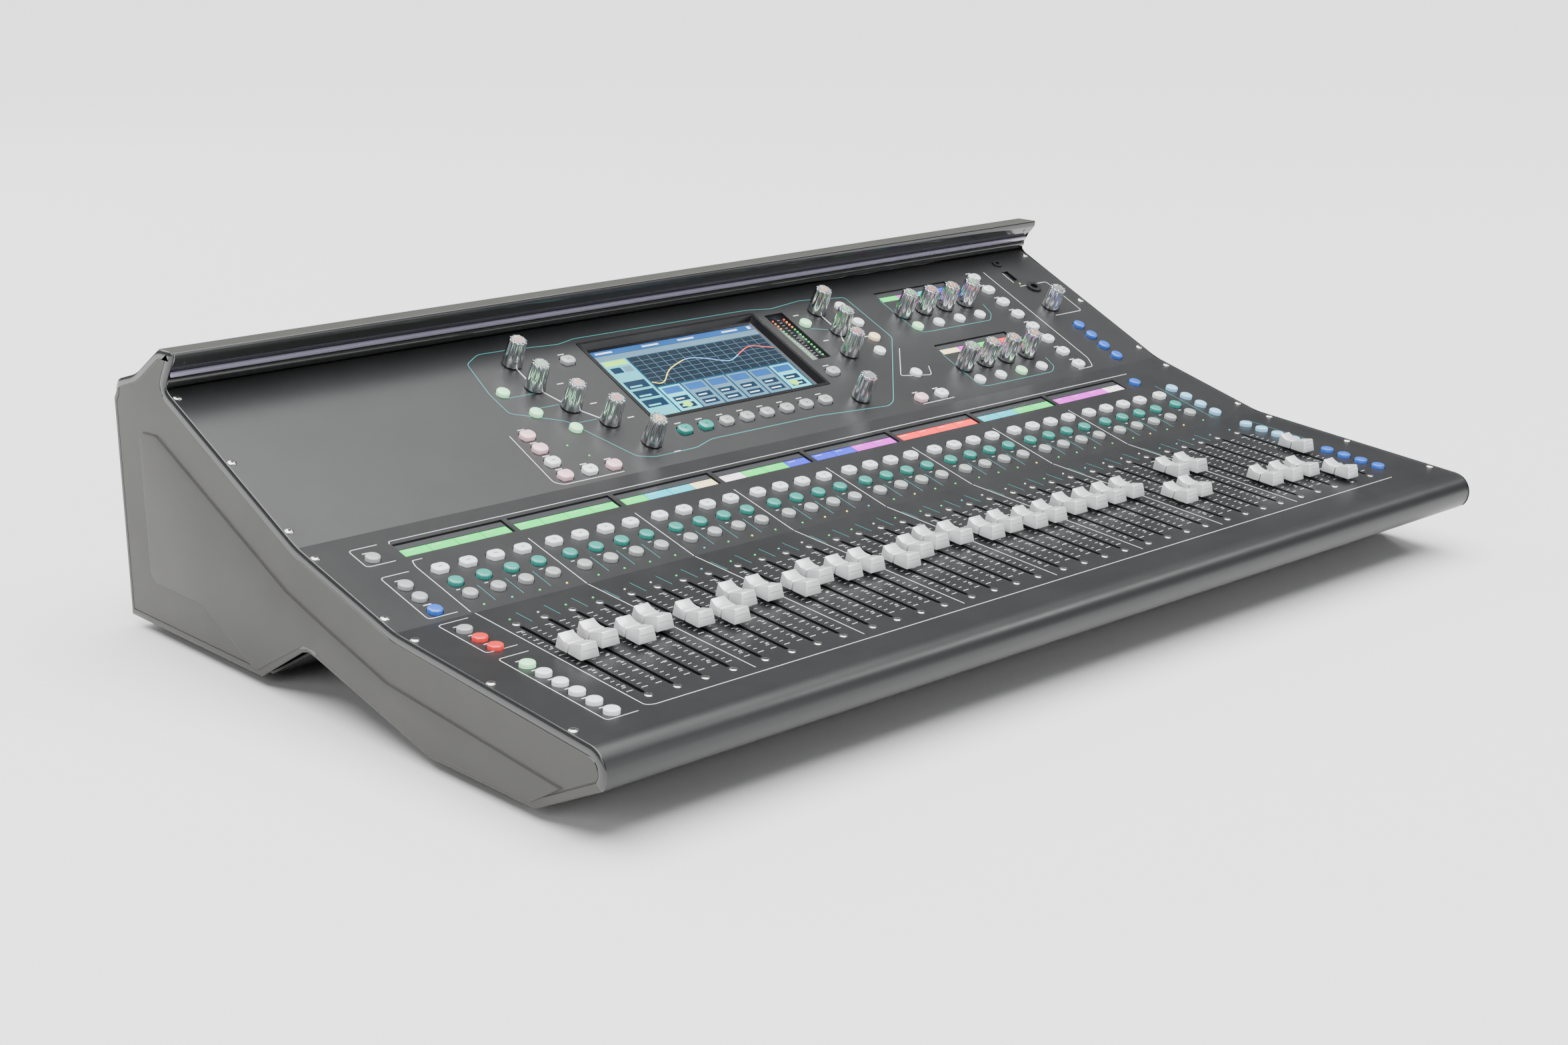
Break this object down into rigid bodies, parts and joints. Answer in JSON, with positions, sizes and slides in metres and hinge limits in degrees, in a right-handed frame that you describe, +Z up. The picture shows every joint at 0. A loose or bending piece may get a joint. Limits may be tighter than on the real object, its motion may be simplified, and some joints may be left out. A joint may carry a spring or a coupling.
{
  "type": "mixing console",
  "caption": "Desk-top digital audio mixing console: sloped folded-steel control surface with faders, rotary encoders, lit keys, colour displays, end cheeks and rear connectors.",
  "frame": {"origin": "on the floor plane under the middle of the overall box", "axes": "+X to the operator's right, +Y away from the operator, +Z up"},
  "size_m": [0.8044, 0.5146, 0.1982],
  "materials": {
    "panel_black": "satin",
    "hood_grey": "satin",
    "cheek_grey": "satin textured",
    "tray_black": "satin",
    "rear_black": "satin",
    "bezel_black": "gloss",
    "screen_glass": "gloss",
    "strip_glass": "gloss",
    "track_steel": "plain",
    "board_green": "satin",
    "supply_steel": "plain",
    "socket_metal": "dark satin",
    "socket_plastic": "satin",
    "screw_steel": "blackened",
    "foot_rubber": "matte",
    "fader_silver": "satin",
    "knob_chrome": "polished",
    "select_white": "translucent gloss",
    "mute_teal": "gloss",
    "listen_grey": "gloss",
    "soft_pink": "translucent gloss",
    "key_grey": "gloss",
    "rocker_black": "gloss"
  },
  "bodies": {
    "chassis": {"base_tray": "tray_black", "control_panel": "panel_black", "left_end_cheek": "cheek_grey", "right_end_cheek": "cheek_grey", "rear_hood": "hood_grey", "rear_panel": "rear_black", "screen_surround": "bezel_black", "touch_display": "screen_glass", "strip_displays": "strip_glass", "fader_tracks": "track_steel", "circuit_boards": "board_green", "power_supply": "supply_steel", "xlr_sockets": "socket_metal", "rear_sockets": "socket_plastic", "panel_sockets": "socket_plastic", "panel_screws": "screw_steel", "rubber_feet": "foot_rubber"},
    "fader_pair_01": {"fader_pair_01": "fader_silver"},
    "fader_pair_02": {"fader_pair_02": "fader_silver"},
    "fader_pair_03": {"fader_pair_03": "fader_silver"},
    "fader_pair_04": {"fader_pair_04": "fader_silver"},
    "fader_pair_05": {"fader_pair_05": "fader_silver"},
    "fader_pair_06": {"fader_pair_06": "fader_silver"},
    "fader_pair_07": {"fader_pair_07": "fader_silver"},
    "fader_pair_08": {"fader_pair_08": "fader_silver"},
    "fader_pair_09": {"fader_pair_09": "fader_silver"},
    "fader_pair_10": {"fader_pair_10": "fader_silver"},
    "fader_pair_11": {"fader_pair_11": "fader_silver"},
    "fader_pair_12": {"fader_pair_12": "fader_silver"},
    "fader_pair_13": {"fader_pair_13": "fader_silver"},
    "fader_pair_14": {"fader_pair_14": "fader_silver"},
    "fader_pair_15": {"fader_pair_15": "fader_silver"},
    "fader_pair_16": {"fader_pair_16": "fader_silver"},
    "master_fader": {"master_fader": "fader_silver"},
    "gain_knob": {"gain_knob": "knob_chrome"},
    "filter_knob": {"filter_knob": "knob_chrome"},
    "gate_knob": {"gate_knob": "knob_chrome"},
    "compressor_knob": {"compressor_knob": "knob_chrome"},
    "pan_knob": {"pan_knob": "knob_chrome"},
    "eq_width_knob": {"eq_width_knob": "knob_chrome"},
    "eq_frequency_knob": {"eq_frequency_knob": "knob_chrome"},
    "eq_gain_knob": {"eq_gain_knob": "knob_chrome"},
    "data_knob": {"data_knob": "knob_chrome"},
    "headphone_knob": {"headphone_knob": "knob_chrome"},
    "soft_rotary_upper_1": {"soft_rotary_upper_1": "knob_chrome"},
    "soft_rotary_upper_2": {"soft_rotary_upper_2": "knob_chrome"},
    "soft_rotary_upper_3": {"soft_rotary_upper_3": "knob_chrome"},
    "soft_rotary_upper_4": {"soft_rotary_upper_4": "knob_chrome"},
    "soft_rotary_lower_1": {"soft_rotary_lower_1": "knob_chrome"},
    "soft_rotary_lower_2": {"soft_rotary_lower_2": "knob_chrome"},
    "soft_rotary_lower_3": {"soft_rotary_lower_3": "knob_chrome"},
    "soft_rotary_lower_4": {"soft_rotary_lower_4": "knob_chrome"},
    "select_keys": {"select_keys": "select_white"},
    "mute_keys": {"mute_keys": "mute_teal"},
    "listen_keys": {"listen_keys": "listen_grey"},
    "soft_keys": {"soft_keys": "soft_pink"},
    "upper_keys": {"upper_keys": "key_grey"},
    "middle_keys": {"middle_keys": "key_grey"},
    "lower_keys": {"lower_keys": "key_grey"},
    "power_switch": {"power_switch": "rocker_black"}
  },
  "joints": [
    {"name": "fader_pair_01_slide", "type": "slide", "parent": "chassis", "child": "fader_pair_01", "axis": [0, 0.9961, 0.0884], "range_m": [-0.0531, 0.0397]},
    {"name": "fader_pair_02_slide", "type": "slide", "parent": "chassis", "child": "fader_pair_02", "axis": [0, 0.9961, 0.0884], "range_m": [-0.0525, 0.0389]},
    {"name": "fader_pair_03_slide", "type": "slide", "parent": "chassis", "child": "fader_pair_03", "axis": [0, 0.9961, 0.0884], "range_m": [-0.0443, 0.0472]},
    {"name": "fader_pair_04_slide", "type": "slide", "parent": "chassis", "child": "fader_pair_04", "axis": [0, 0.9961, 0.0884], "range_m": [-0.0602, 0.0387]},
    {"name": "fader_pair_05_slide", "type": "slide", "parent": "chassis", "child": "fader_pair_05", "axis": [0, 0.9961, 0.0884], "range_m": [-0.0531, 0.037]},
    {"name": "fader_pair_06_slide", "type": "slide", "parent": "chassis", "child": "fader_pair_06", "axis": [0, 0.9961, 0.0884], "range_m": [-0.0582, 0.0408]},
    {"name": "fader_pair_07_slide", "type": "slide", "parent": "chassis", "child": "fader_pair_07", "axis": [0, 0.9961, 0.0884], "range_m": [-0.0516, 0.0404]},
    {"name": "fader_pair_08_slide", "type": "slide", "parent": "chassis", "child": "fader_pair_08", "axis": [0, 0.9961, 0.0884], "range_m": [-0.0633, 0.0344]},
    {"name": "fader_pair_09_slide", "type": "slide", "parent": "chassis", "child": "fader_pair_09", "axis": [0, 0.9961, 0.0884], "range_m": [-0.0577, 0.0398]},
    {"name": "fader_pair_10_slide", "type": "slide", "parent": "chassis", "child": "fader_pair_10", "axis": [0, 0.9961, 0.0884], "range_m": [-0.0561, 0.043]},
    {"name": "fader_pair_11_slide", "type": "slide", "parent": "chassis", "child": "fader_pair_11", "axis": [0, 0.9961, 0.0884], "range_m": [-0.059, 0.0398]},
    {"name": "fader_pair_12_slide", "type": "slide", "parent": "chassis", "child": "fader_pair_12", "axis": [0, 0.9961, 0.0884], "range_m": [-0.0595, 0.0399]},
    {"name": "fader_pair_13_slide", "type": "slide", "parent": "chassis", "child": "fader_pair_13", "axis": [0, 0.9961, 0.0884], "range_m": [-0.032, 0.0648]},
    {"name": "fader_pair_14_slide", "type": "slide", "parent": "chassis", "child": "fader_pair_14", "axis": [0, 0.9961, 0.0884], "range_m": [-0.0708, 0.0285]},
    {"name": "fader_pair_15_slide", "type": "slide", "parent": "chassis", "child": "fader_pair_15", "axis": [0, 0.9961, 0.0884], "range_m": [-0.0195, 0.0781]},
    {"name": "fader_pair_16_slide", "type": "slide", "parent": "chassis", "child": "fader_pair_16", "axis": [0, 0.9961, 0.0884], "range_m": [-0.0005, 0.0804]},
    {"name": "master_fader_slide", "type": "slide", "parent": "chassis", "child": "master_fader", "axis": [0, 0.9961, 0.0884], "range_m": [-0.0562, 0.0438]},
    {"name": "gain_knob_turn", "type": "hinge", "parent": "chassis", "child": "gain_knob", "pos_m": [-0.1548, 0.15678, 0.15769], "axis": [0, -0.4274, 0.9041], "continuous": true},
    {"name": "filter_knob_turn", "type": "hinge", "parent": "chassis", "child": "filter_knob", "pos_m": [-0.1552, 0.13065, 0.14534], "axis": [0, -0.4274, 0.9041], "continuous": true},
    {"name": "gate_knob_turn", "type": "hinge", "parent": "chassis", "child": "gate_knob", "pos_m": [-0.1429, 0.10642, 0.13389], "axis": [0, -0.4274, 0.9041], "continuous": true},
    {"name": "compressor_knob_turn", "type": "hinge", "parent": "chassis", "child": "compressor_knob", "pos_m": [-0.1254, 0.08635, 0.1244], "axis": [0, -0.4274, 0.9041], "continuous": true},
    {"name": "pan_knob_turn", "type": "hinge", "parent": "chassis", "child": "pan_knob", "pos_m": [-0.1103, 0.06032, 0.11209], "axis": [0, -0.4274, 0.9041], "continuous": true},
    {"name": "eq_width_knob_turn", "type": "hinge", "parent": "chassis", "child": "eq_width_knob", "pos_m": [0.1322, 0.15588, 0.15726], "axis": [0, -0.4274, 0.9041], "continuous": true},
    {"name": "eq_frequency_knob_turn", "type": "hinge", "parent": "chassis", "child": "eq_frequency_knob", "pos_m": [0.132, 0.13056, 0.1453], "axis": [0, -0.4274, 0.9041], "continuous": true},
    {"name": "eq_gain_knob_turn", "type": "hinge", "parent": "chassis", "child": "eq_gain_knob", "pos_m": [0.1198, 0.10624, 0.1338], "axis": [0, -0.4274, 0.9041], "continuous": true},
    {"name": "data_knob_turn", "type": "hinge", "parent": "chassis", "child": "data_knob", "pos_m": [0.0875, 0.06032, 0.11209], "axis": [0, -0.4274, 0.9041], "continuous": true},
    {"name": "headphone_knob_turn", "type": "hinge", "parent": "chassis", "child": "headphone_knob", "pos_m": [0.3572, 0.11456, 0.13773], "axis": [0, -0.4274, 0.9041], "range_deg": [-150, 150]},
    {"name": "soft_rotary_upper_1_turn", "type": "hinge", "parent": "chassis", "child": "soft_rotary_upper_1", "pos_m": [0.2069, 0.13626, 0.14799], "axis": [0, -0.4274, 0.9041], "continuous": true},
    {"name": "soft_rotary_upper_2_turn", "type": "hinge", "parent": "chassis", "child": "soft_rotary_upper_2", "pos_m": [0.2305, 0.13626, 0.14799], "axis": [0, -0.4274, 0.9041], "continuous": true},
    {"name": "soft_rotary_upper_3_turn", "type": "hinge", "parent": "chassis", "child": "soft_rotary_upper_3", "pos_m": [0.2541, 0.13626, 0.14799], "axis": [0, -0.4274, 0.9041], "continuous": true},
    {"name": "soft_rotary_upper_4_turn", "type": "hinge", "parent": "chassis", "child": "soft_rotary_upper_4", "pos_m": [0.2777, 0.13626, 0.14799], "axis": [0, -0.4274, 0.9041], "continuous": true},
    {"name": "soft_rotary_lower_1_turn", "type": "hinge", "parent": "chassis", "child": "soft_rotary_lower_1", "pos_m": [0.2069, 0.06918, 0.11628], "axis": [0, -0.4274, 0.9041], "continuous": true},
    {"name": "soft_rotary_lower_2_turn", "type": "hinge", "parent": "chassis", "child": "soft_rotary_lower_2", "pos_m": [0.2305, 0.06918, 0.11628], "axis": [0, -0.4274, 0.9041], "continuous": true},
    {"name": "soft_rotary_lower_3_turn", "type": "hinge", "parent": "chassis", "child": "soft_rotary_lower_3", "pos_m": [0.2541, 0.06918, 0.11628], "axis": [0, -0.4274, 0.9041], "continuous": true},
    {"name": "soft_rotary_lower_4_turn", "type": "hinge", "parent": "chassis", "child": "soft_rotary_lower_4", "pos_m": [0.2777, 0.06918, 0.11628], "axis": [0, -0.4274, 0.9041], "continuous": true},
    {"name": "select_keys_press", "type": "slide", "parent": "chassis", "child": "select_keys", "axis": [0, 0.2598, -0.9657], "range_m": [0, 0.0008], "stiffness_N_per_m": 1980, "springref_m": -0.0005},
    {"name": "mute_keys_press", "type": "slide", "parent": "chassis", "child": "mute_keys", "axis": [0, 0.2598, -0.9657], "range_m": [0, 0.0008], "stiffness_N_per_m": 1980, "springref_m": -0.0005},
    {"name": "listen_keys_press", "type": "slide", "parent": "chassis", "child": "listen_keys", "axis": [0, 0.2598, -0.9657], "range_m": [0, 0.0008], "stiffness_N_per_m": 1980, "springref_m": -0.0005},
    {"name": "soft_keys_press", "type": "slide", "parent": "chassis", "child": "soft_keys", "axis": [0, 0.4274, -0.9041], "range_m": [0, 0.0008], "stiffness_N_per_m": 960, "springref_m": -0.0005},
    {"name": "upper_keys_press", "type": "slide", "parent": "chassis", "child": "upper_keys", "axis": [0, 0.4274, -0.9041], "range_m": [0, 0.0008], "stiffness_N_per_m": 1860, "springref_m": -0.0005},
    {"name": "middle_keys_press", "type": "slide", "parent": "chassis", "child": "middle_keys", "axis": [0, 0.2598, -0.9657], "range_m": [0, 0.0008], "stiffness_N_per_m": 540, "springref_m": -0.0005},
    {"name": "lower_keys_press", "type": "slide", "parent": "chassis", "child": "lower_keys", "axis": [0, 0.0884, -0.9961], "range_m": [0, 0.0008], "stiffness_N_per_m": 1020, "springref_m": -0.0005},
    {"name": "power_switch_rock", "type": "hinge", "parent": "chassis", "child": "power_switch", "pos_m": [0.352, 0.2513, 0.09], "axis": [1, 0, 0], "range_deg": [0, 8]}
  ]
}
